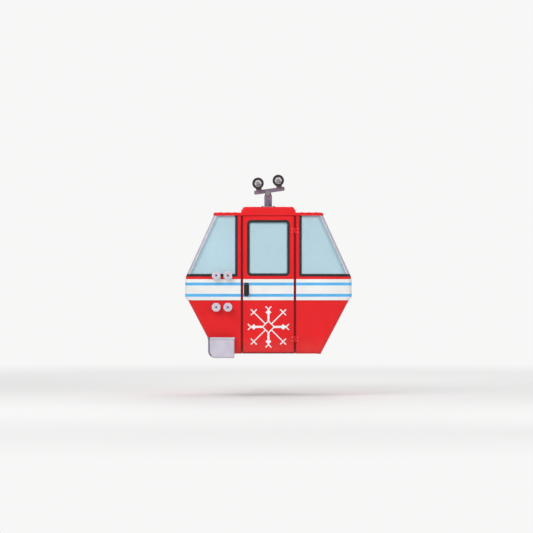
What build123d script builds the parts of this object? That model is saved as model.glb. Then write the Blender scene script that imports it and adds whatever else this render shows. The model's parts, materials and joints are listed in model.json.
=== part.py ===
"""Ski gondola cabin hung from a two-sheave carriage that rides on a haul rope.

The origin is on the rope's centre line, midway between the sheaves. +Z is up, +X is the
uphill direction of travel and -Y is the door side. Lengths are millimetres.
"""

import math
import os

from build123d import *

os.makedirs("parts", exist_ok=True)

# Rope and carriage
rope_tilt = 8.0  # degrees, rising towards +X
rope_radius = 20.0
sheave_radius = 82.0
sheave_width = 50.0
sheave_spacing = 292.0
tyre_thickness = 32.0
groove_depth = 20.0  # how far the rope sinks below the sheave's rim
groove_taper = 3.0  # how much narrower than the rope the groove's floor is, on each side
web_thickness = 28.0
hub_boss = 13.0  # metal left between the axle's bore and the windows
hub_rim = 9.0  # and between the windows and the tyre
spoke_count = 6
spoke_width = 15.0
axle_radius = 15.0
collar_radius = 25.0  # over the corners of the axle's hexagonal collar and nut
running_gap = 0.05  # radial, between a shaft and the bore that turns on it
hub_gap = 1.5  # along the axle, on each side of a hub
cap_thickness = 14.0
beam_thickness = 30.0
beam_height = 58.0
beam_corner = 12.0
beam_overhang = 74.0
beam_drop = 44.0  # middle of the beam's arms below the rope, square to it
lug_width = 64.0
lug_root = 90.0
pivot_drop = 79.0
pivot_shift = 22.6  # downhill along the beam, so that the load hangs plumb midway between the axles
pivot_radius = 20.0
pin_head_radius = 36.0
head_radius = 42.0
side_gap = 5.0  # between the swinging hanger head and the beam

# Hanger
hanger_rise = 210.0  # top of the roof up to the pivot
post_length = 110.0
post_depth = 70.0
foot_length = 214.0
foot_depth = 360.0
foot_thickness = 14.0
foot_corner = 20.0
gusset_height = 96.0
gusset_thickness = 14.0
nut_inset = 54.0
nut_radius = 16.0
nut_height = 12.0
balance_shift = 3.2  # cabin's middle plane, measured from the line under the pivot

# Cabin section, heights measured up from its underside
half_depth = 850.0
bottom_half = 732.0
break_height = 740.0
belt_half = 1157.0
belt_flare = 37.0  # the belt is this much longer at each end than the break below it
belt_rise = 60.0
sill_height = 1085.0
roof_height = 1961.0
roof_half = 756.0
wall = 36.0
corner_radius = 60.0

# Belt moulding, between the break and the sill
band_above_break = 14.0
band_below_sill = 36.0
band_thickness = 10.0

# Roof
rim_thickness = 42.0
rim_overhang = 14.0
rim_corner = 80.0
rim_bevel = 14.0
hump_base_half = 382.0
hump_bevel = 39.0
hump_step = 28.0
hump_slope = 52.0
hump_wall = 22.0
hump_rounding = 24.0
rib_width = 40.0
rib_height = 5.0
rib_spacing = 100.0
rib_taper = 30.0
rib_setback = 80.0

# Floor
floor_top = 100.0
floor_thickness = 40.0
rail_width = 80.0
rail_bottom = 6.0
rail_spacing = 420.0

# Door
door_half = 368.0
door_gap = 6.0
door_bottom = 8.0
seam_rebate = 14.0  # width of the groove on each side of the gap
seam_depth = 8.0
stile_width = 67.0
pane_rise = 7.0
top_rail = 56.0
pane_corner = 60.0
stop_depth = 24.0
stop_overlap = 22.0
stop_gap = 5.0

# Window frames and glass
pillar_width = 56.0
post_width = 44.0
post_end = 82.0
seal_width = 36.0
seal_depth = 22.0
seal_setback = 3.0
glass_setback = 10.0
glass_thickness = 8.0
glass_grip = 10.0  # how far a pane runs into its seal

# Hinges
hinge_inset = 204.0  # middle of a hinge from the door's foot or from its top
hinge_reach = 12.0  # pin centre out from the skin
knuckle_radius = 9.0
knuckle_gap = 1.0
hinge_half = 40.0
leaf_length = 42.0
leaf_thickness = 4.0
leaf_offset = 18.0
hinge_pin_radius = 4.5
pin_setback = 3.0  # pin's end below the top of the door's knuckle

# Door handle
handle_inset = 61.0  # from the door's free edge
handle_length = 192.0
handle_width = 72.0
handle_corner = 24.0
handle_plate = 6.0
grip_length = 160.0
grip_width = 26.0
grip_reach = 46.0
grip_thickness = 16.0

# Ski rack: a pocket for the tails, and two rows of clips
rack_x = -649.0
ski_spacing = 163.0
pocket_shift = -10.0
pocket_length = 365.0
pocket_low = -52.0
pocket_top = 235.0
pocket_depth = 165.0
pocket_wall = 9.0
pocket_corner = 100.0
pocket_edge = 14.0
lip_height = 22.0
lip_reach = 7.0
drain_width = 12.0
drain_length = 90.0
clip_above_sill = 17.0
clip_below_break = 83.0
clip_width = 120.0
clip_height = 118.0
clip_corner = 34.0
clip_plate = 10.0
clip_reach = 72.0
clip_arm_height = 34.0
clip_foot = 70.0
button_radius = 15.0
button_height = 6.0

# Benches
seat_top = 530.0
seat_thickness = 38.0
seat_front = 520.0
back_drop = 75.0  # top of the backrest below the sill
back_thickness = 40.0
seat_nose = 16.0
seat_sweep = 70.0
riser_setback = 45.0
riser_thickness = 22.0
bench_gap = 6.0

# Snowflake on the door, drawn on a square grid
flake_height = 380.0
flake_step = 41.0
flake_thin = 16.0
flake_thick = 30.0
flake_thickness = 2.0
flake_strokes = (
    # start and end in grid steps, stroke width
    ((2, 0), (0, 2), flake_thin),  # side of the middle diamond
    ((2, 0), (6, 0), flake_thick),  # arm
    ((4.5, -0.5), (5.5, 0.5), flake_step * math.sqrt(2)),  # lozenge
    ((6, 0), (7, 1), flake_thin),  # forked tip
    ((6, 0), (7, -1), flake_thin),
    ((1, 1), (6, 6), flake_thin),  # diagonal
    ((4, 6), (6, 4), flake_thin),  # its cross bar
)

# Places worked out from the sizes above
tilt = math.radians(rope_tilt)
along_rope = (math.cos(tilt), 0, math.sin(tilt))
axle_rise = sheave_radius - groove_depth + rope_radius
pivot_x = pivot_drop * math.sin(tilt) - pivot_shift * math.cos(tilt)
pivot_z = -pivot_drop * math.cos(tilt) - pivot_shift * math.sin(tilt)
cabin_x = pivot_x + balance_shift
break_half = belt_half - belt_flare
belt_low = break_height + belt_rise
window_top = roof_height - rim_thickness / 2
rim_top = window_top + rim_thickness
hump_shoulder = rim_top + hump_step
hump_top = hump_shoulder + hump_slope
hump_top_half = hump_base_half - hump_bevel
underside = pivot_z - hanger_rise - hump_top
band_low = break_height + band_above_break
band_top = sill_height - band_below_sill
post_low = sill_height + seal_width
door_top = window_top - door_gap
opening_half = door_half + door_gap
pane_half = door_half - stile_width
pane_low = sill_height + pane_rise
pane_high = door_top - top_rail
hinge_x = door_half + door_gap / 2
hinge_heights = (door_bottom + hinge_inset, door_top - hinge_inset)
beam_back = post_depth / 2 + side_gap
section_rows = (
    # height, half length
    (0.0, bottom_half),
    (break_height, break_half),
    (belt_low, belt_half),
    (sill_height, belt_half),
    (roof_height, roof_half),
)
section_end = hump_top + corner_radius


def side_view(y):
    """The cabin's side view at y: sketch x runs along the cabin, sketch y is height."""
    return Plane(origin=(cabin_x, y, underside), x_dir=(1, 0, 0), z_dir=(0, -1, 0))


def hanger_view(y):
    """The same view as side_view, with x from the line under the pivot."""
    return Plane(origin=(pivot_x, y, underside), x_dir=(1, 0, 0), z_dir=(0, -1, 0))


def carriage_view(y):
    """The carriage's side view at y: sketch x runs along the rope."""
    return Plane(origin=(0, y, 0), x_dir=along_rope, z_dir=(0, -1, 0))


def plan_view(height):
    """The cabin's plan at a height above its underside."""
    return Plane(origin=(cabin_x, 0, underside + height))


def half_at(height):
    """Half the cabin's length at a height, the end rows run on as straight lines."""
    rows = list(section_rows)
    pair = next((n for n in range(1, len(rows) - 1) if height <= rows[n][0]), len(rows) - 1)
    (low, low_half), (high, high_half) = rows[pair - 1], rows[pair]
    return low_half + (high_half - low_half) * (height - low) / (high - low)


def section_points(inset, low, high):
    """Outline of the six-sided section between two heights."""
    heights = [low] + [h for h, _ in section_rows if low < h < high] + [high]
    return both_sides([(half_at(h) - inset, h) for h in heights])


def sketch_outline(points, mode=Mode.ADD):
    """A face inside straight lines, at its own place in the current sketch."""
    Polygon(*points, align=None, mode=mode)


def mirrored(points, sign):
    """The same points on the right of the middle (1) or the left (-1)."""
    return [(sign * x, h) for x, h in points]


def both_sides(points):
    """An outline from its right half, rising points first."""
    return [*points, *mirrored(reversed(points), -1)]


def section_solid(inset, low, high, depth_half, rounding):
    """The section run front to back, its front and back outlines rounded."""
    with BuildPart() as solid:
        with BuildSketch(side_view(depth_half)):
            sketch_outline(section_points(inset, low, high))
        extrude(amount=2 * depth_half)
        if rounding:
            faces = solid.faces().filter_by(Axis.Y)
            fillet(faces.edges(), rounding)
    return solid.part


def span(x, y, z, mode=Mode.ADD):
    """A box between limits, x from the cabin's middle and z up from its underside."""
    with Locations((cabin_x + sum(x) / 2, sum(y) / 2, underside + sum(z) / 2)):
        Box(x[1] - x[0], y[1] - y[0], z[1] - z[0], mode=mode)


def keep(node):
    """Writes one sub-part under its label."""
    export_step(node, f"parts/{node.label}.step")


everywhere = (-2 * belt_half, 2 * belt_half)
all_depth = (-2 * half_depth, 2 * half_depth)
front_wall = (-half_depth, wall - half_depth)
back_wall = (half_depth - wall, half_depth)

# Skin: the outer section less the inner one, open below and above
outer_solid = section_solid(0, 0, section_end, half_depth, corner_radius)
inner_solid = section_solid(
    wall, -wall, section_end + wall, half_depth - wall, corner_radius - wall
)
with BuildPart() as skin:
    add(outer_solid)
    add(inner_solid, mode=Mode.SUBTRACT)

# Rebates along both edges of the door and of its opening, cut into the skin's front face
seam_reach = door_gap + 2 * seam_rebate
seam_floor = (-2 * half_depth, seam_depth - half_depth)
with BuildPart() as seams:
    for sign in (-1, 1):
        middle = sign * hinge_x
        span((middle - seam_reach / 2, middle + seam_reach / 2), seam_floor, (0, window_top))

# Lower shells, each wrapping one end from the door gap round to the back panel
shell_sides = {"left": (-2 * belt_half, -opening_half), "right": (opening_half, 2 * belt_half)}
for side, reach in shell_sides.items():
    with BuildPart() as shell:
        add(skin.part)
        span(reach, all_depth, (0, sill_height), Mode.INTERSECT)
        add(seams.part, mode=Mode.SUBTRACT)
    shell.part.label = f"shell_{side}"
    keep(shell.part)

with BuildPart() as back_panel:
    add(skin.part)
    span((-opening_half, opening_half), back_wall, (0, sill_height), Mode.INTERSECT)
back_panel.part.label = "back_panel"
keep(back_panel.part)

# Belt moulding over the shells, the back panel and the door
with BuildPart() as moulding:
    add(
        section_solid(
            -band_thickness,
            0,
            section_end,
            half_depth + band_thickness,
            corner_radius + band_thickness,
        )
    )
    add(outer_solid, mode=Mode.SUBTRACT)
    span(everywhere, all_depth, (band_low, band_top), Mode.INTERSECT)
    add(seams.part, mode=Mode.SUBTRACT)

band_reaches = (
    # name, x limits, y limits
    ("band_left", shell_sides["left"], all_depth),
    ("band_right", shell_sides["right"], all_depth),
    ("band_back", (-opening_half, opening_half), (0, 2 * half_depth)),
    ("band_door", (-door_half, door_half), (-2 * half_depth, 0)),
)
for name, x_reach, y_reach in band_reaches:
    with BuildPart() as band:
        add(moulding.part)
        span(x_reach, y_reach, (0, section_end), Mode.INTERSECT)
    band.part.label = name
    keep(band.part)



def post_lengths(side, low, high):
    """The two corner posts of one end, cut between two heights."""
    clear = half_depth - post_end
    with BuildPart() as lengths:
        add(skin.part)
        span(shell_sides[side], all_depth, (low, high), Mode.INTERSECT)
        add(
            section_solid(post_width, sill_height, window_top, 2 * half_depth, 0),
            mode=Mode.SUBTRACT,
        )
        span(everywhere, (-clear, clear), (0, section_end), Mode.SUBTRACT)
    return lengths.part


# Corner posts up to the roof, standing on the rubber that runs along the sill
for side in shell_sides:
    posts = post_lengths(side, post_low, window_top)
    posts.label = f"corner_posts_{side}"
    keep(posts)

# Pillars each side of the door, joined by the stop that the door closes on
pillar_edge = opening_half + pillar_width
pillar_reaches = ((-pillar_edge, -opening_half), (opening_half, pillar_edge))
stop_front = wall - half_depth
stop_inner = door_half - stop_overlap
with BuildPart() as door_frame:
    for reach in pillar_reaches:
        span(reach, front_wall, (sill_height, window_top))
    add(seams.part, mode=Mode.SUBTRACT)
    span(
        (-pillar_edge, pillar_edge),
        (stop_front, stop_front + stop_gap + stop_depth),
        (floor_top, window_top),
    )
    span(
        (-stop_inner, stop_inner),
        (stop_front, stop_front + stop_gap + stop_depth),
        (0, window_top - pillar_width),
        Mode.SUBTRACT,
    )
    span(
        (-opening_half, opening_half),
        (stop_front, stop_front + stop_gap),
        (0, window_top),
        Mode.SUBTRACT,
    )
door_frame.part.label = "door_frame"
keep(door_frame.part)

# Back window frame, from pillar to pillar
pane_middle = (pane_low + pane_high) / 2
with BuildPart() as back_frame:
    span((-pillar_edge, pillar_edge), back_wall, (sill_height, window_top))
    with BuildSketch(side_view(half_depth)):
        with Locations((0, pane_middle)):
            RectangleRounded(2 * pane_half, pane_high - pane_low, pane_corner)
    extrude(amount=wall, mode=Mode.SUBTRACT)
back_frame.part.label = "back_window_frame"
keep(back_frame.part)


def light_points(inset):
    """A side light right of the middle: pillar and sill edges inset, slanted edge on its post."""
    low, edge = sill_height + inset, pillar_edge + inset
    return [
        (edge, low),
        (half_at(low) - post_width, low),
        (half_at(window_top) - post_width, window_top),
        (edge, window_top),
    ]


# End panes and their seals, one pair across each end, follow the slope of the section
end_clear = half_depth - post_end
glass_inset = seal_width - glass_grip
with BuildPart() as end_glazing:
    add(section_solid(glass_setback, sill_height, window_top, end_clear, 0))
    add(
        section_solid(glass_setback + glass_thickness, 0, section_end, half_depth, 0),
        mode=Mode.SUBTRACT,
    )
    span(everywhere, all_depth, (sill_height + glass_inset, window_top), Mode.INTERSECT)
with BuildPart() as end_sealing:
    add(section_solid(seal_setback, sill_height, window_top, end_clear, 0))
    add(
        section_solid(seal_setback + seal_depth, 0, section_end, half_depth, 0),
        mode=Mode.SUBTRACT,
    )
    span(everywhere, all_depth, (sill_height, sill_height + seal_width), Mode.INTERSECT)
    add(end_glazing.part, mode=Mode.SUBTRACT)

# Side lights: a pane between pillar and corner post, gripped by a seal on two edges;
# along the sill the seal runs on under the posts
for side, sign in (("left", -1), ("right", 1)):
    reach = shell_sides[side]
    with BuildPart() as end_pane:
        add(end_glazing.part)
        span(reach, all_depth, (0, section_end), Mode.INTERSECT)
    end_pane.part.label = f"glass_end_{side}"
    keep(end_pane.part)
    feet = post_lengths(side, sill_height, post_low)
    with BuildPart() as seals:
        add(end_sealing.part)
        span(reach, all_depth, (0, section_end), Mode.INTERSECT)
        add(feet)
        for outward in (-1, 1):
            with BuildSketch(side_view(outward * (half_depth - seal_setback))):
                sketch_outline(mirrored(light_points(0), sign))
                sketch_outline(mirrored(light_points(seal_width), sign), Mode.SUBTRACT)
            extrude(amount=outward * seal_depth)
            with BuildSketch(side_view(outward * (half_depth - glass_setback))):
                sketch_outline(mirrored(light_points(glass_inset), sign))
            extrude(amount=outward * glass_thickness, mode=Mode.SUBTRACT)
    seals.part.label = f"seals_{side}"
    keep(seals.part)
    for face, outward in (("front", -1), ("back", 1)):
        with BuildPart() as pane:
            with BuildSketch(side_view(outward * (half_depth - glass_setback))):
                sketch_outline(mirrored(light_points(glass_inset), sign))
            extrude(amount=outward * glass_thickness)
        pane.part.label = f"glass_{face}_{side}"
        keep(pane.part)


def pane_rectangle(inset, mode=Mode.ADD):
    """The door pane's rounded outline, inset all round, in the current sketch."""
    with Locations((0, pane_middle)):
        RectangleRounded(
            2 * (pane_half - inset), pane_high - pane_low - 2 * inset, pane_corner - inset, mode=mode
        )


# Panes of the door and of the back window, each in a grooved seal all round
for name, outward in (("door", -1), ("back", 1)):
    glass_y = outward * (half_depth - glass_setback)
    with BuildPart() as seal:
        with BuildSketch(side_view(outward * (half_depth - seal_setback))):
            pane_rectangle(0)
            pane_rectangle(seal_width, Mode.SUBTRACT)
        extrude(amount=outward * seal_depth)
        with BuildSketch(side_view(glass_y)):
            pane_rectangle(glass_inset)
        extrude(amount=outward * glass_thickness, mode=Mode.SUBTRACT)
    seal.part.label = f"seal_{name}"
    keep(seal.part)
    with BuildPart() as pane:
        with BuildSketch(side_view(glass_y)):
            pane_rectangle(glass_inset)
        extrude(amount=outward * glass_thickness)
    pane.part.label = f"glass_{name}"
    keep(pane.part)

# Door leaf, cut from the skin, rebated along its edges and open for its pane
with BuildPart() as door:
    add(skin.part)
    span((-door_half, door_half), front_wall, (door_bottom, door_top), Mode.INTERSECT)
    add(seams.part, mode=Mode.SUBTRACT)
    with BuildSketch(side_view(-half_depth)):
        pane_rectangle(0)
    extrude(amount=-wall, mode=Mode.SUBTRACT)
door.part.label = "door_leaf"
keep(door.part)

# Lift-off hinges: each fixed leaf has a lower knuckle and the pin, the door's leaf an upper one
hinge_y = -half_depth - hinge_reach
leaf_y = (-half_depth - leaf_thickness, -half_depth)
leaf_start = hinge_x + leaf_offset
leaf_end = hinge_x - leaf_offset


def on_hinge(radius, low, high, mode=Mode.ADD):
    """A cylinder about the line of the hinge pins, between two heights."""
    with Locations((cabin_x + hinge_x, hinge_y, underside + (low + high) / 2)):
        Cylinder(radius, high - low, mode=mode)


with BuildPart() as fixed_leaves:
    for height in hinge_heights:
        low, high = height - hinge_half, height + hinge_half
        knuckle_top = height - knuckle_gap / 2
        span((leaf_start, leaf_start + leaf_length), leaf_y, (low, high))
        span((hinge_x, leaf_start), leaf_y, (low, knuckle_top))
        on_hinge(knuckle_radius, low, knuckle_top)
        on_hinge(hinge_pin_radius, knuckle_top, high - pin_setback)
fixed_leaves.part.label = "hinge_butts"
keep(fixed_leaves.part)

with BuildPart() as door_leaves:
    for height in hinge_heights:
        low, high = height - hinge_half, height + hinge_half
        knuckle_low = height + knuckle_gap / 2
        span((leaf_end - leaf_length, leaf_end), leaf_y, (low, high))
        span((leaf_end, hinge_x), leaf_y, (knuckle_low, high))
        on_hinge(knuckle_radius, knuckle_low, high)
        on_hinge(hinge_pin_radius + running_gap, knuckle_low, high, Mode.SUBTRACT)
door_leaves.part.label = "hinge_straps"
keep(door_leaves.part)

# Handle: a plate with a D-shaped grip, in the middle of the belt moulding
handle_x = handle_inset - door_half
handle_height = (band_low + band_top) / 2
plate_y = -half_depth - band_thickness
grip_y = plate_y - handle_plate
grip_plane = Plane(
    origin=(cabin_x + handle_x, grip_y, underside + handle_height),
    x_dir=(0, 1, 0),
    z_dir=(1, 0, 0),
)
grip_hole = (grip_reach - grip_thickness, grip_length - 2 * grip_thickness)
with BuildPart() as handle:
    with BuildSketch(side_view(plate_y)):
        with Locations((handle_x, handle_height)):
            RectangleRounded(handle_width, handle_length, handle_corner)
    extrude(amount=handle_plate)
    with BuildSketch(grip_plane) as grip:
        with Locations((-grip_reach / 2, 0)):
            Rectangle(grip_reach, grip_length)
        fillet(grip.vertices().sort_by(Axis.X)[:2], grip_thickness)
        with Locations((-grip_hole[0] / 2, 0)):
            Rectangle(*grip_hole, mode=Mode.SUBTRACT)
    extrude(amount=grip_width / 2, both=True)
handle.part.label = "door_handle"
keep(handle.part)

# Snowflake plate: the strokes of one quarter, turned four times about its middle
with BuildPart() as snowflake:
    with BuildSketch(side_view(-half_depth)):
        for quarter in range(4):
            with Locations(Location((0, flake_height), 90 * quarter)):
                for start, end, width in flake_strokes:
                    run, rise = end[0] - start[0], end[1] - start[1]
                    middle = (flake_step * (start[0] + run / 2), flake_step * (start[1] + rise / 2))
                    turn = math.degrees(math.atan2(rise, run))
                    with Locations(Location(middle, turn)):
                        Rectangle(flake_step * math.hypot(run, rise), width)
    extrude(amount=flake_thickness)
snowflake.part.label = "door_snowflake"
keep(snowflake.part)

# Roof: a rim all round, ribs each side and a raised middle that is hollow below
rim_half = half_depth + rim_overhang
hump_side = [
    (hump_base_half, window_top),
    (hump_base_half, hump_shoulder),
    (hump_top_half, hump_top),
]
under_side = [(x - hump_wall, h - hump_wall) for x, h in hump_side[1:]]
with BuildPart() as hump:
    with BuildSketch(side_view(rim_half)):
        sketch_outline(both_sides(hump_side))
    extrude(amount=2 * rim_half)
    ends = hump.faces().filter_by(Axis.Y).edges().filter_by(Axis.Z, reverse=True)
    fillet(ends.group_by(Axis.Z)[-1] + ends.group_by(Axis.Z)[-2], hump_rounding)
with BuildPart() as roof:
    with BuildSketch(plan_view(window_top)):
        RectangleRounded(2 * (roof_half + rim_overhang), 2 * rim_half, rim_corner)
    extrude(amount=rim_thickness)
    chamfer(roof.faces().sort_by(Axis.Z)[-1].edges(), rim_bevel)
    with BuildSketch(plan_view(rim_top)):
        for sign in (-1, 1):
            with Locations((sign * (hump_base_half + roof_half) / 2, 0)):
                with GridLocations(rib_spacing, 0, 3, 1):
                    Rectangle(rib_width, 2 * (half_depth - rib_setback))
    extrude(amount=rib_height, taper=rib_taper)
    add(hump.part)
    with BuildSketch(side_view(half_depth - wall)):
        sketch_outline(both_sides([(hump_base_half - hump_wall, window_top), *under_side]))
    extrude(amount=2 * (half_depth - wall), mode=Mode.SUBTRACT)
roof.part.label = "roof"
keep(roof.part)

# Floor plate on three cross rails
with BuildPart() as floor:
    add(inner_solid)
    span(everywhere, all_depth, (floor_top - floor_thickness, floor_top), Mode.INTERSECT)
    rail_half = bottom_half - wall
    rail_height = floor_top - floor_thickness - rail_bottom
    with Locations((cabin_x, 0, underside + rail_bottom + rail_height / 2)):
        with GridLocations(0, rail_spacing, 1, 3):
            Box(2 * rail_half, rail_width, rail_height)
floor.part.label = "floor"
keep(floor.part)

# Benches along both ends: a moulded seat and backrest on a set-back riser
bench_depth = half_depth - corner_radius
back_top = sill_height - back_drop
seat_under = seat_top - seat_thickness
riser_front = seat_front + riser_setback


def bench_outer(height):
    """The bench's outer face, just clear of the end wall."""
    return half_at(height) - wall - bench_gap


seat_outline = [
    (seat_front, seat_under),
    (bench_outer(seat_under), seat_under),
    (bench_outer(break_height), break_height),
    (bench_outer(break_height), back_top),
    (bench_outer(break_height) - back_thickness, back_top),
    (bench_outer(break_height) - back_thickness, break_height),
    (bench_outer(seat_top) - back_thickness, seat_top),
    (seat_front, seat_top),
]
for side, sign in (("left", -1), ("right", 1)):
    with BuildPart() as bench:
        with BuildSketch(side_view(bench_depth)) as moulding_outline:
            sketch_outline(mirrored(seat_outline, sign))
            corners = moulding_outline.vertices()
            nose = corners.sort_by(Axis.X, reverse=sign < 0)[:2]
            fillet(nose + corners.sort_by(Axis.Y)[-2:], seat_nose)
            inner = (sign * (bench_outer(seat_top) - back_thickness), seat_top)
            fillet(moulding_outline.vertices().sort_by_distance(inner)[:1], seat_sweep)
        extrude(amount=2 * bench_depth)
        riser_reach = sorted((sign * riser_front, sign * (riser_front + riser_thickness)))
        span(riser_reach, (-bench_depth, bench_depth), (floor_top, seat_under))
    bench.part.label = f"bench_{side}"
    keep(bench.part)

# Ski pocket below the side light left of the door, its outer lower corner well rounded
pocket_x = rack_x + pocket_shift
pocket_half = pocket_length / 2
pocket_middle = (pocket_low + pocket_top) / 2
with BuildPart() as pocket:
    with BuildSketch(side_view(-half_depth)) as pocket_outline:
        with Locations((pocket_x, pocket_middle)):
            Rectangle(pocket_length, pocket_top - pocket_low)
        lowest = pocket_outline.vertices().sort_by(Axis.Y)[:2]
        fillet(lowest.sort_by(Axis.X)[:1], pocket_corner)
    extrude(amount=pocket_depth)
    front_edges = pocket.faces().sort_by(Axis.Y)[0].edges()
    chamfer(front_edges.sort_by(Axis.Z)[:-1], pocket_edge)
    lip_half = pocket_half + lip_reach
    lip_front = -half_depth - pocket_depth - lip_reach
    span(
        (pocket_x - lip_half, pocket_x + lip_half),
        (lip_front, -half_depth),
        (pocket_top - lip_height, pocket_top),
    )
    inner_half = pocket_half - pocket_wall
    with BuildSketch(side_view(-half_depth - pocket_wall)) as hollow:
        with Locations((pocket_x, pocket_middle + pocket_wall)):
            Rectangle(2 * inner_half, pocket_top - pocket_low)
        lowest = hollow.vertices().sort_by(Axis.Y)[:2]
        fillet(lowest.sort_by(Axis.X)[:1], pocket_corner - pocket_wall)
    extrude(amount=pocket_depth - 2 * pocket_wall, mode=Mode.SUBTRACT)
    with Locations((cabin_x + rack_x, -half_depth - pocket_depth / 2, underside + pocket_low)):
        with GridLocations(ski_spacing, 0, 2, 1):
            Box(drain_width, drain_length, 4 * pocket_wall, mode=Mode.SUBTRACT)
pocket.part.label = "ski_pocket"
keep(pocket.part)

# Ski clips: a foot on the wall, an arm, and a retaining plate in front of where a ski stands
clip_rows = (
    # middle of the plate, top of the arm
    (sill_height + clip_above_sill, sill_height),
    (break_height - clip_below_break, break_height - clip_below_break + clip_arm_height / 2),
)
with BuildPart() as clips:
    for height, arm_top in clip_rows:
        for place in (rack_x - ski_spacing / 2, rack_x + ski_spacing / 2):
            with BuildSketch(side_view(clip_plate - half_depth - clip_reach)) as plate:
                with Locations((place, height)):
                    Rectangle(clip_width, clip_height)
                chamfer(plate.vertices(), clip_corner)
            extrude(amount=clip_plate)
            outer = place + clip_width / 2
            arm_z = (arm_top - clip_arm_height, arm_top)
            span((outer - clip_plate, outer), (-half_depth - clip_reach, -half_depth), arm_z)
            span((outer - clip_foot, outer), (-half_depth - clip_plate, -half_depth), arm_z)
clips.part.label = "ski_clips"
keep(clips.part)

with BuildPart() as buttons:
    with BuildSketch(side_view(-half_depth - clip_reach)):
        for height, _ in clip_rows:
            with Locations((rack_x, height)):
                with GridLocations(ski_spacing, 0, 2, 1):
                    RegularPolygon(button_radius, 6)
    extrude(amount=button_height)
buttons.part.label = "clip_buttons"
keep(buttons.part)

# Hanger: foot, gusseted post and the head that turns on the pivot pin
head_height = pivot_z - underside
foot_top = hump_top + foot_thickness
post_side = [
    (post_length / 2, foot_top),
    (post_length / 2, head_height - head_radius),
    (head_radius, head_height),
]
gusset_side = [
    (foot_depth / 2 - foot_corner, foot_top),
    (post_depth / 2, foot_top + gusset_height),
]
gusset_view = Plane(origin=(pivot_x, 0, underside), x_dir=(0, 1, 0), z_dir=(1, 0, 0))
with BuildPart() as hanger:
    with BuildSketch(Plane(origin=(pivot_x, 0, underside + hump_top))) as foot:
        Rectangle(foot_length, foot_depth)
        chamfer(foot.vertices(), foot_corner)
    extrude(amount=foot_thickness)
    with BuildSketch(hanger_view(post_depth / 2)):
        sketch_outline(both_sides(post_side))
        with Locations((0, head_height)):
            Circle(head_radius)
    extrude(amount=post_depth)
    with BuildSketch(gusset_view):
        sketch_outline(both_sides(gusset_side))
    extrude(amount=gusset_thickness / 2, both=True)
    with BuildSketch(hanger_view(post_depth)):
        with Locations((0, head_height)):
            Circle(pivot_radius + running_gap)
    extrude(amount=2 * post_depth, mode=Mode.SUBTRACT)
    with BuildSketch(Plane(origin=(pivot_x, 0, underside + foot_top))):
        with GridLocations(foot_length - nut_inset, foot_depth - nut_inset, 2, 2):
            RegularPolygon(nut_radius, 6)
    extrude(amount=nut_height)
hanger.part.label = "hanger"
keep(hanger.part)

# Carriage beam: one plate behind the sheaves, with a lug up to each axle and one down to the pivot
axle_places = (-sheave_spacing / 2, sheave_spacing / 2)
pivot_place = (-pivot_shift, -pivot_drop)
beam_rear = beam_back + beam_thickness
with BuildPart() as beam:
    with BuildSketch(carriage_view(beam_rear)) as beam_side:
        with Locations((0, -beam_drop)):
            Rectangle(sheave_spacing + 2 * beam_overhang, beam_height)
        chamfer(beam_side.vertices(), beam_corner)
        with Locations(pivot_place):
            Circle(head_radius)
        for place in axle_places:
            sketch_outline(
                [
                    (place - lug_root / 2, -beam_drop),
                    (place - lug_width / 2, axle_rise),
                    (place + lug_width / 2, axle_rise),
                    (place + lug_root / 2, -beam_drop),
                ]
            )
            with Locations((place, axle_rise)):
                Circle(lug_width / 2)
        with Locations(pivot_place):
            Circle(pivot_radius, mode=Mode.SUBTRACT)
        with Locations((0, axle_rise)):
            with GridLocations(sheave_spacing, 0, 2, 1):
                Circle(axle_radius, mode=Mode.SUBTRACT)
    extrude(amount=beam_thickness)
beam.part.label = "carriage_beam"
keep(beam.part)

# Pivot pin and axles, each with a hexagonal head or nut in front
with BuildPart() as pivot_pin:
    with BuildSketch(carriage_view(beam_rear)):
        with Locations(pivot_place):
            Circle(pivot_radius)
    extrude(amount=beam_rear + beam_back)
    with BuildSketch(carriage_view(-beam_back)):
        with Locations(pivot_place):
            RegularPolygon(pin_head_radius, 6)
    extrude(amount=cap_thickness)
pivot_pin.part.label = "pivot_pin"
keep(pivot_pin.part)

hub_face = web_thickness / 2 + hub_gap
collars = (
    # y of the back face, thickness
    (beam_back, beam_back - hub_face),
    (-hub_face, cap_thickness),
)
with BuildPart() as axles:
    with BuildSketch(carriage_view(beam_rear)):
        with Locations((0, axle_rise)):
            with GridLocations(sheave_spacing, 0, 2, 1):
                Circle(axle_radius)
    extrude(amount=beam_rear + hub_face)
    for back_face, thickness in collars:
        with BuildSketch(carriage_view(back_face)):
            with Locations((0, axle_rise)):
                with GridLocations(sheave_spacing, 0, 2, 1):
                    RegularPolygon(collar_radius, 6)
        extrude(amount=thickness)
axles.part.label = "sheave_axles"
keep(axles.part)

# Sheaves: a spoked hub inside a grooved tyre, both centred on the axle
hub_radius = sheave_radius - tyre_thickness
window_low = axle_radius + hub_boss
window_high = hub_radius - hub_rim
groove_floor = sheave_radius - groove_depth
groove_half = rope_radius - groove_taper
half_width = sheave_width / 2


def window_half(reach):
    """Half the width of a hub window at a distance from the axle, for spokes of even width."""
    half_turn = math.pi / spoke_count
    return reach * math.tan(half_turn) - spoke_width / 2 / math.cos(half_turn)


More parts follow.
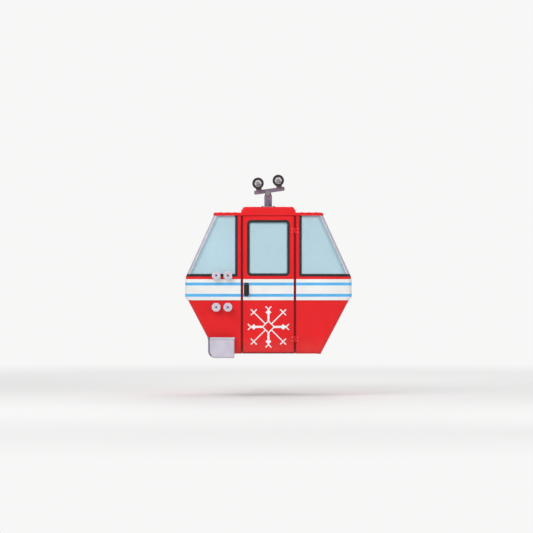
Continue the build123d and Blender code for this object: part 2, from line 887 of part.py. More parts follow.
hub_window = [(x, window_half(x)) for x in (window_low, window_high)]
tyre_section = [
    (hub_radius, half_width),
    (sheave_radius, half_width),
    (groove_floor, groove_half),
]
for side, place in zip(("left", "right"), axle_places):
    centre = carriage_view(0).from_local_coords((place, axle_rise, 0))
    across = Plane(origin=centre, x_dir=along_rope, z_dir=(0, -1, 0))
    lengthwise = Plane(origin=centre, x_dir=along_rope, z_dir=across.y_dir)
    with BuildPart() as hub:
        with BuildSketch(across):
            Circle(hub_radius)
            Circle(axle_radius + running_gap, mode=Mode.SUBTRACT)
            with PolarLocations(0, spoke_count):
                sketch_outline(
                    [*hub_window, *[(x, -y) for x, y in reversed(hub_window)]], Mode.SUBTRACT
                )
        extrude(amount=web_thickness / 2, both=True)
    hub.part.label = f"sheave_hub_{side}"
    keep(hub.part)
    with BuildPart() as tyre:
        with BuildSketch(lengthwise):
            sketch_outline([*tyre_section, *[(r, -y) for r, y in reversed(tyre_section)]])
        revolve(axis=Axis(centre, (0, 1, 0)))
    tyre.part.label = f"sheave_tyre_{side}"
    keep(tyre.part)
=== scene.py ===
"""Looks of the ski gondola cabin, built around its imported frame. Lengths are metres."""

import json
import math

import bmesh
import bpy
from mathutils import Matrix, Vector


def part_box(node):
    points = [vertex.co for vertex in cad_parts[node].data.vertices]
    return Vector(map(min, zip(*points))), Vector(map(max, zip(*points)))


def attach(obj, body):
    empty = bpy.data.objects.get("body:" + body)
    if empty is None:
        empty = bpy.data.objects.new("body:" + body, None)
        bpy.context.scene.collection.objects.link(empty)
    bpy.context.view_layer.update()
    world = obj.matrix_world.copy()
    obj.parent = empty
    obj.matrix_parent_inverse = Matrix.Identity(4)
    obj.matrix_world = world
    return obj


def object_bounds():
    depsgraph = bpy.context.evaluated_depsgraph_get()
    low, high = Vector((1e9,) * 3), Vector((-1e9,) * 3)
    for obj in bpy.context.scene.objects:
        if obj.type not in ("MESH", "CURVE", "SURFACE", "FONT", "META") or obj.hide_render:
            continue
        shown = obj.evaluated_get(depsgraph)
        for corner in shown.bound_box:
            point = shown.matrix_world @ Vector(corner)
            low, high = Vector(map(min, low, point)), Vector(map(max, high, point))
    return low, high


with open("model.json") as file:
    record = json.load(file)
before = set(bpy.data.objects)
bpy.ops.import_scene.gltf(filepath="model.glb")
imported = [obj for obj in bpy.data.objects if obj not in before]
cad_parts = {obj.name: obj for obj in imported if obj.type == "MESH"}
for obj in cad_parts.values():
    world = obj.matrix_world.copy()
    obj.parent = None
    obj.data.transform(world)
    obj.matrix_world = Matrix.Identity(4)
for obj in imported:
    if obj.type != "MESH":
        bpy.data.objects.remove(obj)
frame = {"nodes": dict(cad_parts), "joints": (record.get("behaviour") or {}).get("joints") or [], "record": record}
cad_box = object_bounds()

# Places taken from the frame
skin_low, skin_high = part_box("shell_left")
right_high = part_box("shell_right")[1]
leaf_low, leaf_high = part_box("door_leaf")
roof_low, roof_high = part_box("roof")
cabin_x = (skin_low.x + right_high.x) / 2
underside = skin_low.z
front = skin_low.y
back = skin_high.y
joints = {joint["name"]: joint for joint in frame["joints"]}
pivot = Vector(joints["cabin_swing"]["pos_m"])
hinge = Vector(joints["door_swing"]["pos_m"])
left_axle = Vector(joints["sheave_left_spin"]["pos_m"])
right_axle = Vector(joints["sheave_right_spin"]["pos_m"])

# Directions out of the front and the back wall, and up
front_out = Vector((0, -1, 0))
back_out = Vector((0, 1, 0))
up = Vector((0, 0, 1))

# Colours, linear
RED = (0.80, 0.012, 0.016)
# painted shade for the grooves beside the door, darker than the red
SEAM_SHADE_RED = (0.30, 0.001, 0.008)
WHITE = (0.86, 0.86, 0.85)
STRIPE_BLUE = (0.10, 0.46, 0.86)
PALE_BLUE = (0.56, 0.87, 1.0)
BLACK = (0.012, 0.012, 0.014)
LINER_BLACK = (0.016, 0.016, 0.018)
ROPE_POLISH = (0.075, 0.07, 0.068)
LILAC_GREY = (0.60, 0.57, 0.66)
HANGER_GREY = (0.23, 0.19, 0.27)
HUB_GREY = (0.62, 0.60, 0.66)
STEEL = (0.46, 0.45, 0.47)
BUTTON_GREY = (0.09, 0.07, 0.11)
FLAKE_WHITE = (0.88, 0.88, 0.89)
BENCH_GREY = (0.30, 0.31, 0.34)
FLOOR_GREY = (0.06, 0.06, 0.065)
MAT_DARK = (0.035, 0.035, 0.038)
MAT_LIGHT = (0.07, 0.068, 0.066)
WOOD_DARK = (0.20, 0.13, 0.075)
WOOD_LIGHT = (0.30, 0.21, 0.13)
DUST = (0.30, 0.22, 0.19)
CHIPPED = (0.30, 0.27, 0.25)
BACKDROP = (0.93, 0.93, 0.925)
FLOOR_PALE = (0.88, 0.88, 0.875)

# Gloss of the paint, and how the panes pass and bend light
body_roughness = 0.32
body_coat = 0.08
body_reflection = 0.25  # 0.5 is the full reflection of plastic
coat_roughness = 0.22
pane_alpha = 0.36  # at each of a pane's two surfaces
pane_ior = 1.58  # polycarbonate

# Marks on the cabin, heights above its underside
# where the painted shade in the grooves beside the door lies
seam_half = 0.0185
seam_depth = 0.009
stripe_heights = (0.823, 0.981)
stripe_half = 0.0205
dust_height = 0.3
pocket_corner = 0.100
pocket_lip = 0.007
# width of the painted shade along the pocket's left wall
pocket_rim = 0.026
groove_radii = (0.060, 0.080)
groove_half = 0.021

# Sizes of the CAD pieces that the added ones sit on
hinge_half = 0.040
leaf_thickness = 0.004
handle_plate = 0.006
clip_half = 0.059
clip_foot_drop = 0.093
clip_plate = 0.010
ski_spacing = 0.163
post_width = 0.044
rim_corner = 0.080
pane_corner = 0.060
post_length = 0.110
post_depth = 0.070
foot_thickness = 0.014
foot_corner = 0.020
gusset_half = 0.007

# Sizes and places of the added pieces
leaf_screw_x = 0.039
leaf_screw_z = 0.024
handle_screw_x = 0.025
handle_screw_z = 0.074
clip_screw_insets = (0.024, 0.052)
post_rivet_inset = 0.071
post_rivet_pitch = 0.11
rim_rivet_rise = 0.014
rim_rivet_pitch = 0.16
lip_inset = 0.018
lip_setback = 0.001
lip_radius = 0.007
lip_turn = 0.02
hub_bolt_count = 6
bolt_circle = 0.037
weld_radius = 0.005
weld_ripples = 12
sweep_setback = 0.018
sweep_rise = 0.004
sweep_end = 0.01
sweep_radius = 0.005
sweep_pitch = 0.05

# Screw and rivet heads: radius and height rows, from below the surface outwards
SCREW = (
    (0, -0.002),
    (0.0062, -0.002),
    (0.0062, 0.0008),
    (0.0052, 0.0022),
    (0.0030, 0.0029),
    (0.0024, 0.0012),
    (0, 0.0012),
)
RIVET = (
    (0, -0.002),
    (0.0048, -0.002),
    (0.0048, 0.0003),
    (0.0040, 0.0016),
    (0.0022, 0.0025),
    (0, 0.0028),
)

# The stretch of a noise's values that holds most of them
NOISE_LOW = 0.3
NOISE_HIGH = 0.7


def new_material(name, colour, roughness, metallic=0.0, coat=0.0):
    """A material with its constant values set on the shader's own sockets."""
    material = bpy.data.materials.new(name)
    material.use_nodes = True
    material.diffuse_color = (*colour, 1)
    shader = shader_of(material)
    shader.inputs["Base Color"].default_value = (*colour, 1)
    shader.inputs["Roughness"].default_value = roughness
    shader.inputs["Metallic"].default_value = metallic
    shader.inputs["Coat Weight"].default_value = coat
    shader.inputs["Coat Roughness"].default_value = coat_roughness
    return material


def shader_of(material):
    return material.node_tree.nodes["Principled BSDF"]


def node(material, kind, **values):
    """Adds a node; values name its properties or its input sockets."""
    made = material.node_tree.nodes.new(kind)
    for name, value in values.items():
        if hasattr(made, name):
            setattr(made, name, value)
        else:
            made.inputs[name.replace("_", " ")].default_value = value
    return made


def link(material, start, end):
    material.node_tree.links.new(start, end)


def position(material, stretch=(1, 1, 1)):
    """The object's own coordinates, stretched along each axis."""
    coordinate = node(material, "ShaderNodeTexCoord")
    mapping = node(material, "ShaderNodeMapping")
    mapping.inputs["Scale"].default_value = stretch
    link(material, coordinate.outputs["Object"], mapping.inputs["Vector"])
    return mapping.outputs["Vector"]


def axes(material):
    """The three coordinates of the object's own space."""
    made = node(material, "ShaderNodeSeparateXYZ")
    link(material, position(material), made.inputs["Vector"])
    return made.outputs["X"], made.outputs["Y"], made.outputs["Z"]


def noise(material, scale, detail=3.0, stretch=(1, 1, 1)):
    """Noise from 0 to 1, scale in waves per metre."""
    made = node(material, "ShaderNodeTexNoise", Scale=scale, Detail=detail)
    link(material, position(material, stretch), made.inputs["Vector"])
    return made.outputs["Fac"]


def ranged(material, value, low, high, to_low, to_high):
    """A value moved smoothly from one range to another."""
    made = node(material, "ShaderNodeMapRange", interpolation_type="SMOOTHSTEP")
    limits = {"From Min": low, "From Max": high, "To Min": to_low, "To Max": to_high}
    for name, number in limits.items():
        made.inputs[name].default_value = number
    link(material, value, made.inputs["Value"])
    return made.outputs["Result"]


def mixed(material, factor, first, second):
    """A colour between two; either may be a colour or a socket."""
    made = node(material, "ShaderNodeMix", data_type="RGBA")
    link(material, factor, made.inputs["Factor"])
    for name, value in (("A", first), ("B", second)):
        socket = next(s for s in made.inputs if s.name == name and s.type == "RGBA")
        if isinstance(value, tuple):
            socket.default_value = (*value, 1)
        else:
            link(material, value, socket)
    return next(s for s in made.outputs if s.type == "RGBA")


def maths(material, operation, first, second=None):
    """One maths step; either value may be a number or a socket."""
    made = node(material, "ShaderNodeMath", operation=operation)
    for socket, value in zip(made.inputs, (first, second)):
        if isinstance(value, (int, float)):
            socket.default_value = value
        elif value is not None:
            link(material, value, socket)
    return made.outputs["Value"]


def inside(material, value, middle, half, soft=0.0006):
    """1 where a coordinate is within half of middle, 0 outside."""
    distance = maths(material, "ABSOLUTE", maths(material, "SUBTRACT", value, middle))
    return ranged(material, distance, half - soft, half + soft, 1, 0)


def length_of(material, first, second):
    """The length of a flat vector from its two parts."""
    squares = [maths(material, "MULTIPLY", value, value) for value in (first, second)]
    return maths(material, "SQRT", maths(material, "ADD", *squares))


def paint(material, colour):
    link(material, colour, shader_of(material).inputs["Base Color"])


def shade(colour, factor):
    return tuple(channel * factor for channel in colour)


def cloudy(material, first, second, scale, detail=4.0, stretch=(1, 1, 1)):
    """A colour that drifts between two shades."""
    drift = ranged(material, noise(material, scale, detail, stretch), NOISE_LOW, NOISE_HIGH, 0, 1)
    return mixed(material, drift, first, second)


def uneven(material, low, high, scale, stretch=(1, 1, 1)):
    """Roughness that changes from place to place."""
    value = ranged(material, noise(material, scale, 2.0, stretch), NOISE_LOW, NOISE_HIGH, low, high)
    link(material, value, shader_of(material).inputs["Roughness"])


def relief(material, layers, edge=0.0015):
    """Softened edges, then bumps: each layer is a height socket and its depth in metres."""
    made = node(material, "ShaderNodeBevel", samples=4, Radius=edge)
    normal = made.outputs["Normal"]
    for height, depth in layers:
        bump = node(material, "ShaderNodeBump", Strength=1.0, Distance=depth)
        link(material, height, bump.inputs["Height"])
        link(material, normal, bump.inputs["Normal"])
        normal = bump.outputs["Normal"]
    link(material, normal, shader_of(material).inputs["Normal"])


def gel_coat(material, colour):
    """Gloss paint over moulded glass fibre: slow waves, fine orange peel, dust low down."""
    shader_of(material).inputs["Specular IOR Level"].default_value = body_reflection
    height = axes(material)[2]
    low_down = ranged(material, height, underside, underside + dust_height, 0.22, 0)
    dust = maths(material, "MULTIPLY", low_down, noise(material, 9, 5, (1, 1, 0.35)))
    body = cloudy(material, shade(colour, 0.93), shade(colour, 1.04), 2.2)
    uneven(material, 0.34, 0.42, 3)
    relief(material, ((noise(material, 4, 1), 0.0006), (noise(material, 420, 2), 0.00003)), 0.003)
    return mixed(material, dust, body, DUST)


def body_red():
    """Red gel coat, with painted shade darkening the grooves beside the door."""
    material = new_material("body_red", RED, body_roughness, coat=body_coat)
    x, y, z = axes(material)
    across = maths(material, "ABSOLUTE", maths(material, "SUBTRACT", x, cabin_x))
    in_seam = inside(material, across, hinge.x - cabin_x, seam_half)
    sunk = inside(material, y, front + seam_depth, seam_depth - 0.001)
    under_roof = ranged(material, z, roof_low.z - 0.004, roof_low.z - 0.002, 1, 0)
    # painted shade: the grooves beside the door are coloured darker than the red
    seam_shade = maths(material, "MULTIPLY", maths(material, "MULTIPLY", in_seam, sunk), under_roof)
    paint(material, mixed(material, seam_shade, gel_coat(material, RED), SEAM_SHADE_RED))
    return material


def band_white():
    """White gel coat with two blue stripes."""
    material = new_material("band_white", WHITE, body_roughness, coat=body_coat)
    height = axes(material)[2]
    low, high = (inside(material, height, underside + place, stripe_half) for place in stripe_heights)
    stripes = maths(material, "MAXIMUM", low, high)
    blue = cloudy(material, shade(STRIPE_BLUE, 0.92), shade(STRIPE_BLUE, 1.06), 6)
    paint(material, mixed(material, stripes, gel_coat(material, WHITE), blue))
    return material


def window_blue():
    """Tinted polycarbonate: clear enough to see the benches, blue as a whole."""
    material = new_material("window_blue", PALE_BLUE, 0.06)
    shader = shader_of(material)
    shader.inputs["Alpha"].default_value = pane_alpha
    shader.inputs["IOR"].default_value = pane_ior
    paint(material, cloudy(material, shade(PALE_BLUE, 0.93), PALE_BLUE, 1.4))
    uneven(material, 0.03, 0.09, 18)
    relief(material, ((noise(material, 3, 1), 0.0008),), 0.001)
    return material


def rubber(name, dusty):
    """Matt black rubber; dusty is how much lighter its pale patches are."""
    material = new_material(name, BLACK, 0.62)
    paint(material, cloudy(material, BLACK, shade(BLACK, dusty), 26, 6))
    uneven(material, 0.5, 0.75, 60)
    relief(material, ((noise(material, 900, 3), 0.00006),), 0.0025)
    return material


def tyre_black():
    """Rubber liner, its groove polished grey by the rope."""
    material = new_material("tyre_black", BLACK, 0.6)
    x, y, z = axes(material)
    radii = []
    for centre in (left_axle, right_axle):
        dx = maths(material, "SUBTRACT", x, centre.x)
        dz = maths(material, "SUBTRACT", z, centre.z)
        radii.append(length_of(material, dx, dz))
    radius = maths(material, "MINIMUM", *radii)
    flat_side = inside(material, y, left_axle.y, groove_half, 0.002)
    groove = maths(material, "MULTIPLY", ranged(material, radius, *groove_radii, 1, 0), flat_side)
    rings = node(material, "ShaderNodeTexWave", Scale=180.0, Distortion=2.0)
    link(material, radius, rings.inputs["Vector"])
    paint(material, mixed(material, groove, LINER_BLACK, ROPE_POLISH))
    link(material, ranged(material, groove, 0, 1, 0.62, 0.32), shader_of(material).inputs["Roughness"])
    relief(material, ((rings.outputs["Fac"], 0.00012), (noise(material, 700, 3), 0.00005)), 0.003)
    return material


def bare_metal(name, colour, roughness, metallic, stretch, depth, edge=0.0015):
    """Metal with fine lines along one axis."""
    material = new_material(name, colour, roughness, metallic)
    paint(material, cloudy(material, shade(colour, 0.86), shade(colour, 1.08), 30, 5, stretch))
    uneven(material, roughness - 0.08, roughness + 0.12, 45, stretch)
    relief(material, ((noise(material, 600, 2, stretch), depth),), edge)
    return material


def satin_paint(name, colour, roughness=0.42, edge=0.003):
    """Paint over cast or welded steel, a little rough to the touch."""
    material = new_material(name, colour, roughness, coat=0.15)
    chips = ranged(material, noise(material, 140, 6), 0.70, 0.74, 0, 0.5)
    shades = cloudy(material, shade(colour, 0.85), shade(colour, 1.12), 14)
    paint(material, mixed(material, chips, shades, CHIPPED))
    uneven(material, roughness - 0.08, roughness + 0.14, 25)
    relief(material, ((noise(material, 240, 3), 0.00018),), edge)
    return material


def moulded(name, colour, roughness, grain=0.00012, edge=0.004):
    """Moulded plastic with a fine leather grain."""
    material = new_material(name, colour, roughness)
    cells = node(material, "ShaderNodeTexVoronoi", Scale=520.0)
    link(material, position(material), cells.inputs["Vector"])
    paint(material, cloudy(material, shade(colour, 0.94), shade(colour, 1.05), 8))
    uneven(material, roughness - 0.06, roughness + 0.1, 30)
    relief(material, ((cells.outputs["Distance"], grain), (noise(material, 20, 2), 0.0004)), edge)
    return material


def pocket_grey():
    """The ski rack's grey plastic, with painted shade as a darker rim along the pocket's left wall and round
    corner.
    """
    material = moulded("pocket_grey", LILAC_GREY, 0.4, 0.0001, 0.005)
    x, _, z = axes(material)
    pocket_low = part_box("ski_pocket")[0]
    centre = (pocket_low.x + pocket_lip + pocket_corner, pocket_low.z + pocket_corner)
    offsets = [maths(material, "SUBTRACT", middle, value) for value, middle in zip((x, z), centre)]
    beyond = [maths(material, "MAXIMUM", offset, 0) for offset in offsets]
    radius = length_of(material, *beyond)
    at_left = ranged(material, beyond[0], pocket_corner * 0.5, pocket_corner * 0.55, 0, 1)
    rim_start = pocket_corner - pocket_rim
    rim = ranged(material, radius, rim_start, rim_start + 0.001, 0, 1)
    # painted shade: the pocket's left wall and round corner are coloured darker grey
    shaded_rim = maths(material, "MULTIPLY", at_left, rim)
    body = shader_of(material).inputs["Base Color"].links[0].from_socket
    paint(material, mixed(material, shaded_rim, body, HANGER_GREY))
    return material


def ribbed_floor():
    """Ribbed rubber on top, weathered plywood below."""
    material = new_material("floor_grey", FLOOR_GREY, 0.7)
    facing = node(material, "ShaderNodeSeparateXYZ")
    geometry = node(material, "ShaderNodeNewGeometry")
    link(material, geometry.outputs["Normal"], facing.inputs["Vector"])
    top = ranged(material, facing.outputs["Z"], 0.4, 0.6, 0, 1)
    wood = cloudy(material, WOOD_DARK, WOOD_LIGHT, 12, 8, (1, 9, 1))
    mat = cloudy(material, MAT_DARK, MAT_LIGHT, 10, 6)
    paint(material, mixed(material, top, wood, mat))
    ribs = node(material, "ShaderNodeTexWave", Scale=20.0, bands_direction="X")
    link(material, position(material), ribs.inputs["Vector"])
    uneven(material, 0.55, 0.8, 22)
    relief(material, ((ribs.outputs["Fac"], 0.002), (noise(material, 300, 3), 0.0001)), 0.002)
    return material


materials = {
    "body_red": body_red(),
    "band_white": band_white(),
    "window_blue": window_blue(),
    "seal_black": rubber("seal_black", 2.4),
    "tyre_black": tyre_black(),
    "post_grey": bare_metal("post_grey", LILAC_GREY, 0.38, 0.35, (1, 1, 0.05), 0.00004, 0.003),
    "carriage_grey": satin_paint("carriage_grey", HANGER_GREY),
    "steel": bare_metal("steel", STEEL, 0.3, 0.9, (1, 0.04, 1), 0.00005),
    "hub_grey": bare_metal("hub_grey", HUB_GREY, 0.42, 0.55, (1, 1, 1), 0.00012, 0.002),
    "handle_black": moulded("handle_black", BLACK, 0.38, 0.0001, 0.004),
    "flake_white": moulded("flake_white", FLAKE_WHITE, 0.35, 0.00003, 0.001),
    "bench_grey": moulded("bench_grey", BENCH_GREY, 0.5, 0.0003, 0.006),
    "floor_grey": ribbed_floor(),
    "pocket_grey": pocket_grey(),
    "button_grey": satin_paint("button_grey", BUTTON_GREY, 0.4, 0.001),
}

for entry in frame["record"]["subparts"]:
    for material_slot in frame["nodes"][entry["node"]].material_slots:
        material_slot.link = "OBJECT"
        material_slot.material = materials[entry["material_slot"]]


def make_piece(name, mesh_data, body, slot_name):
    """Turns a bmesh into a named, smooth piece that rides on a body."""
    mesh = bpy.data.meshes.new(name)
    mesh_data.to_mesh(mesh)
    mesh_data.free()
    mesh.materials.append(materials[slot_name])
    for face in mesh.polygons:
        face.use_smooth = True
    piece = bpy.data.objects.new(name, mesh)
    bpy.context.scene.collection.objects.link(piece)
    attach(piece, body)


def turned(mesh_data, rows, place, direction, steps=14):
    """Adds a turned solid: rows are (radius, height along direction)."""
    to_place = Matrix.Translation(place) @ Vector(direction).to_track_quat("Z", "Y").to_matrix().to_4x4()
    turns = [2 * math.pi * step / steps for step in range(steps)]
    rings = []
    for radius, height in rows:
        if radius == 0:
            points = [Vector((0, 0, height))]
        else:
            points = [Vector((radius * math.cos(t), radius * math.sin(t), height)) for t in turns]
        rings.append([mesh_data.verts.new(to_place @ point) for point in points])
    for lower, upper in zip(rings, rings[1:]):
        for step in range(steps):
            after = (step + 1) % steps
            if len(upper) == 1:
                mesh_data.faces.new((lower[step], lower[after], upper[0]))
            elif len(lower) == 1:
                mesh_data.faces.new((lower[0], upper[after], upper[step]))
            else:
                mesh_data.faces.new((lower[step], lower[after], upper[after], upper[step]))


def heads(name, body, slot_name, rows, places):
    """One joined piece of like heads at (place, direction) pairs."""
    mesh_data = bmesh.new()
    for place, direction in places:
        turned(mesh_data, rows, place, direction)
    make_piece(name, mesh_data, body, slot_name)


def tube(mesh_data, points, normal, radius, closed=False, steps=8):
    """Sweeps a round section along points that lie in a plane with that normal."""
    turns = [2 * math.pi * step / steps for step in range(steps)]
    rings = []
    last = len(points) - 1
    for n, point in enumerate(points):
        before = points[n - 1] if n or closed else point
        after = points[(n + 1) % len(points)] if n < last or closed else point
        aside = (after - before).cross(normal).normalized()
        ring = [point + radius * (math.cos(t) * aside + math.sin(t) * normal) for t in turns]
        rings.append([mesh_data.verts.new(place) for place in ring])
    pairs = list(zip(rings, rings[1:]))
    if closed:
        pairs.append((rings[-1], rings[0]))
    else:
        mesh_data.faces.new(rings[0])
        mesh_data.faces.new(reversed(rings[-1]))
    for first, second in pairs:
        for step in range(steps):
            after = (step + 1) % steps
            mesh_data.faces.new((first[step], second[step], second[after], first[after]))


def spread(start, end, pitch):
    """Places from start to end at about that pitch."""
    count = max(1, round((end - start) / pitch))
    return [start + (end - start) * n / count for n in range(count + 1)]


def rounded_loop(low, high, inset, corner, y, steps=7):
    """Points round a rectangle with round corners, at depth y, inset from its box."""
    reach = corner - inset
    quarters = (
        (high.x - corner, high.z - corner),
        (low.x + corner, high.z - corner),
        (low.x + corner, low.z + corner),
        (high.x - corner, low.z + corner),
    )
    points = []
    for quarter, (centre_x, centre_z) in enumerate(quarters):
        for step in range(steps):
            turn = math.pi / 2 * (quarter + step / (steps - 1))
            points.append(Vector((centre_x + reach * math.cos(turn), y, centre_z + reach * math.sin(turn))))
    return points


def hinge_screws():
    """Two screws in each leaf of both hinges."""
    low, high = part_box("hinge_butts")
    middles = (low.z + hinge_half, high.z - hinge_half)
    for name, body, side in (("hinge_screws_cabin", "cabin", 1), ("hinge_screws_door", "door", -1)):
        places = [
            (Vector((hinge.x + side * leaf_screw_x, front - leaf_thickness, middle + rise)), front_out)
            for middle in middles
            for rise in (-leaf_screw_z, leaf_screw_z)
        ]
        heads(name, body, "steel", SCREW, places)


def handle_screws():
    """A screw at each corner of the handle's plate."""
    low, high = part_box("door_handle")
    middle = (low + high) / 2
    plate_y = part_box("band_door")[0].y - handle_plate
    places = [
        (Vector((middle.x + x, plate_y, middle.z + z)), front_out)
        for x in (-handle_screw_x, handle_screw_x)
        for z in (-handle_screw_z, handle_screw_z)
    ]
    heads("handle_screws", "door", "steel", SCREW, places)


def clip_screws():
    """Two screws in each ski clip's foot on the wall."""
    low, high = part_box("ski_clips")
    rows = (low.z + clip_half, high.z - clip_foot_drop)
    places = [
        (Vector((edge - inset, front - clip_plate, row)), front_out)
        for edge in (high.x, high.x - ski_spacing)
        for row in rows
        for inset in clip_screw_insets
    ]
    heads("clip_screws", "cabin", "steel", SCREW, places)


def post_rivets():
    """Rivets up each corner post, on the sloping end faces."""
    places = []
    for side, outward in (("left", -1), ("right", 1)):
        low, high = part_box(f"corner_posts_{side}")
        near, far = (low.x, high.x) if outward < 0 else (high.x, low.x)
        far = far + outward * post_width
        slope = Vector((far - near, 0, high.z - low.z))
        normal = Vector((outward * slope.z, 0, abs(slope.x))).normalized()
        count = round(slope.length / post_rivet_pitch)
        for n in range(count):
            foot = Vector((near, 0, low.z)) + slope * (n + 0.5) / count
            for y in (front + post_rivet_inset, back - post_rivet_inset):
                places.append((Vector((foot.x, y, foot.z)), normal))
    heads("post_rivets", "cabin", "post_grey", RIVET, places)


def roof_rivets():
    """Rivets all round the roof's rim."""
    middle = (roof_low + roof_high) / 2
    half_x, half_y = (roof_high.x - roof_low.x) / 2, (roof_high.y - roof_low.y) / 2
    height = roof_low.z + rim_rivet_rise
    along_x = spread(-half_x + rim_corner, half_x - rim_corner, rim_rivet_pitch)
    along_y = spread(-half_y + rim_corner, half_y - rim_corner, rim_rivet_pitch)
    places = []
    for sign in (-1, 1):
        for y in along_y:
            places.append((Vector((middle.x + sign * half_x, middle.y + y, height)), Vector((sign, 0, 0))))
        for x in along_x:
            places.append((Vector((middle.x + x, middle.y + sign * half_y, height)), Vector((0, sign, 0))))
    heads("roof_rivets", "cabin", "body_red", RIVET, places)


def pane_seal_lips():
    """The round lip of the rubber round the door's pane and the back pane, just proud of it."""
    for name, body, y, normal in (("door", "door", front, front_out), ("back", "cabin", back, back_out)):
        low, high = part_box(f"seal_{name}")
        mesh_data = bmesh.new()
        points = rounded_loop(low, high, lip_inset, pane_corner, y - normal.y * lip_setback)
        tube(mesh_data, points, normal, lip_radius, closed=True)
        make_piece(f"seal_lip_{name}", mesh_data, body, "seal_black")


def side_seal_lips():
    """The lip of the rubber at each side light: down the pillar, round a bend, along the sill."""
    turns = [math.pi / 2 * n / 5 for n in range(6)]
    bend_steps = [(lip_turn * (1 - math.cos(t)), lip_turn * (1 - math.sin(t))) for t in turns]
    for side, outward in (("left", -1), ("right", 1)):
        low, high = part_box(f"seals_{side}")
        post_low, post_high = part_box(f"corner_posts_{side}")
        pillar, post_foot = (high.x, post_low.x) if outward < 0 else (low.x, post_high.x)
        corner_x, corner_z = pillar + outward * lip_inset, low.z + lip_inset
        mesh_data = bmesh.new()
        for y, normal in ((front + lip_setback, front_out), (back - lip_setback, back_out)):
            bend = [Vector((corner_x + outward * x, y, corner_z + z)) for x, z in bend_steps]
            top = Vector((corner_x, y, high.z - lip_radius))
            end = Vector((post_foot - outward * post_width, y, corner_z))
            tube(mesh_data, [top, *bend, end], normal, lip_radius)
        make_piece(f"seal_lips_{side}", mesh_data, "cabin", "seal_black")


def hub_bolts():
    """Bolts in each sheave's hub, between its windows."""
    face_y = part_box("sheave_hub_left")[0].y
    tilt = math.atan2(right_axle.z - left_axle.z, right_axle.x - left_axle.x)
    for side, centre in (("left", left_axle), ("right", right_axle)):
        places = []
        for n in range(hub_bolt_count):
            turn = tilt + 2 * math.pi / hub_bolt_count * (n + 0.5)
            x, z = bolt_circle * math.cos(turn), bolt_circle * math.sin(turn)
            places.append((Vector((centre.x + x, face_y, centre.z + z)), front_out))
        heads(f"hub_bolts_{side}", f"sheave_{side}", "steel", RIVET, places)


def hanger_welds():
    """Weld beads round the foot of the hanger's post and along its gussets."""
    low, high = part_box("hanger")
    middle = Vector((pivot.x, 0, low.z + foot_thickness))
    half_x, half_y = post_length / 2, post_depth / 2
    corners = ((half_x, half_y), (-half_x, half_y), (-half_x, -half_y), (half_x, -half_y))
    mesh_data = bmesh.new()
    loop = []
    for (x, y), (next_x, next_y) in zip(corners, (*corners[1:], corners[0])):
        for n in range(weld_ripples):
            share = n / weld_ripples
            loop.append(middle + Vector((x + (next_x - x) * share, y + (next_y - y) * share, 0)))
    tube(mesh_data, loop, up, weld_radius, closed=True)
    for sign in (-1, 1):
        for side in (-1, 1):
            start = middle + Vector((side * gusset_half, sign * half_y, 0))
            end = middle + Vector((side * gusset_half, sign * (high.y - foot_corner), 0))
            points = [start.lerp(end, n / weld_ripples) for n in range(weld_ripples + 1)]
            tube(mesh_data, points, up, weld_radius)
    make_piece("hanger_welds", mesh_data, "cabin", "carriage_grey")


def door_sweep():
    """Rubber strip under the door, closing its gap to the sill."""
    mesh_data = bmesh.new()
    y, z = leaf_low.y + sweep_setback, leaf_low.z + sweep_rise
    places = spread(leaf_low.x + sweep_end, leaf_high.x - sweep_end, sweep_pitch)
    tube(mesh_data, [Vector((x, y, z)) for x in places], front_out, sweep_radius)
    make_piece("door_sweep", mesh_data, "door", "seal_black")


hinge_screws()
handle_screws()
clip_screws()
post_rivets()
roof_rivets()
pane_seal_lips()
side_seal_lips()
hub_bolts()
hanger_welds()
door_sweep()

# Studio: pale floor and soft lamps
floor_drop = 0.55
floor_half = 40.0
floor_fade = (2.0, 15.0)
least_glow = 0.35
ambient_strength = 0.42
lamp_target = Vector((0, 0, -1.3))
lamps = (
    # name, place, diameter, power
    ("key", (-4.5, -6.5, 4.6), 6.5, 480),
    ("fill", (5.5, -6.5, 1.4), 7.5, 190),
    ("rear", (1.5, 6.5, 3.9), 6.0, 260),
)

# Camera: the photograph is 533 pixels wide, and one pixel of it stands for 14 mm
photo_pixels = 533
pixel_size = 0.014
aim_left = 0.027  # the picture's middle lies this far left of the cabin's
aim_height = 1.226  # and this far above the cabin's underside
focal_length = 200
sensor_width = 36


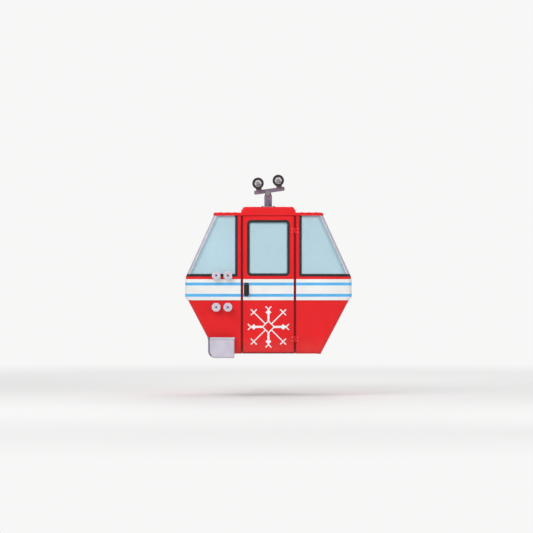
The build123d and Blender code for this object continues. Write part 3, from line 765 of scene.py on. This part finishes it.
def studio_floor():
    """A wide pale floor that fades into the backdrop away from the cabin."""
    mesh_data = bmesh.new()
    bmesh.ops.create_grid(mesh_data, x_segments=1, y_segments=1, size=floor_half)
    mesh = bpy.data.meshes.new("studio_floor")
    mesh_data.to_mesh(mesh)
    mesh_data.free()
    floor = bpy.data.objects.new("studio_floor", mesh)
    floor.location = (cabin_x, 0, cad_box[0].z - floor_drop)
    bpy.context.scene.collection.objects.link(floor)
    material = new_material("studio_floor", FLOOR_PALE, 0.9)
    coordinate = node(material, "ShaderNodeTexCoord")
    length = node(material, "ShaderNodeVectorMath", operation="LENGTH")
    link(material, coordinate.outputs["Object"], length.inputs[0])
    far = ranged(material, length.outputs["Value"], *floor_fade, least_glow, 1)
    path = node(material, "ShaderNodeLightPath")
    glow = node(material, "ShaderNodeEmission", Color=(*BACKDROP, 1), Strength=1.0)
    mix = node(material, "ShaderNodeMixShader")
    link(material, maths(material, "MULTIPLY", far, path.outputs["Is Camera Ray"]), mix.inputs[0])
    link(material, shader_of(material).outputs[0], mix.inputs[1])
    link(material, glow.outputs[0], mix.inputs[2])
    link(material, mix.outputs[0], material.node_tree.nodes["Material Output"].inputs["Surface"])
    mesh.materials.append(material)


def pale_world():
    """Plain light from all round; camera and transmitted rays see the pale backdrop."""
    world = bpy.data.worlds.new("studio")
    bpy.context.scene.world = world
    world.use_nodes = True
    tree = world.node_tree
    ambient = tree.nodes["Background"]
    ambient.inputs["Color"].default_value = (1, 1, 1, 1)
    ambient.inputs["Strength"].default_value = ambient_strength
    backdrop = tree.nodes.new("ShaderNodeBackground")
    backdrop.inputs["Color"].default_value = (*BACKDROP, 1)
    path = tree.nodes.new("ShaderNodeLightPath")
    seen = tree.nodes.new("ShaderNodeMath")
    seen.operation = "MAXIMUM"
    mix = tree.nodes.new("ShaderNodeMixShader")
    tree.links.new(path.outputs["Is Camera Ray"], seen.inputs[0])
    tree.links.new(path.outputs["Is Transmission Ray"], seen.inputs[1])
    tree.links.new(seen.outputs[0], mix.inputs[0])
    tree.links.new(ambient.outputs[0], mix.inputs[1])
    tree.links.new(backdrop.outputs[0], mix.inputs[2])
    tree.links.new(mix.outputs[0], tree.nodes["World Output"].inputs["Surface"])


def lamp(name, place, diameter, power):
    """A round soft lamp that points at the cabin."""
    data = bpy.data.lights.new(name, "AREA")
    data.shape = "DISK"
    data.size = diameter
    data.energy = power
    made = bpy.data.objects.new(name, data)
    made.location = place
    made.rotation_euler = (lamp_target - Vector(place)).to_track_quat("-Z", "Y").to_euler()
    bpy.context.scene.collection.objects.link(made)


def main_camera():
    """A long lens square to the door side, framed as the photograph."""
    data = bpy.data.cameras.new("camera")
    data.lens = focal_length
    data.sensor_width = sensor_width
    data.clip_end = 200
    distance = photo_pixels * pixel_size * focal_length / sensor_width
    made = bpy.data.objects.new("camera", data)
    made.location = (cabin_x - aim_left, front - distance, underside + aim_height)
    made.rotation_euler = (math.pi / 2, 0, 0)
    bpy.context.scene.collection.objects.link(made)
    bpy.context.scene.camera = made


studio_floor()
pale_world()
for values in lamps:
    lamp(*values)
main_camera()
bpy.context.scene.view_settings.view_transform = "Standard"
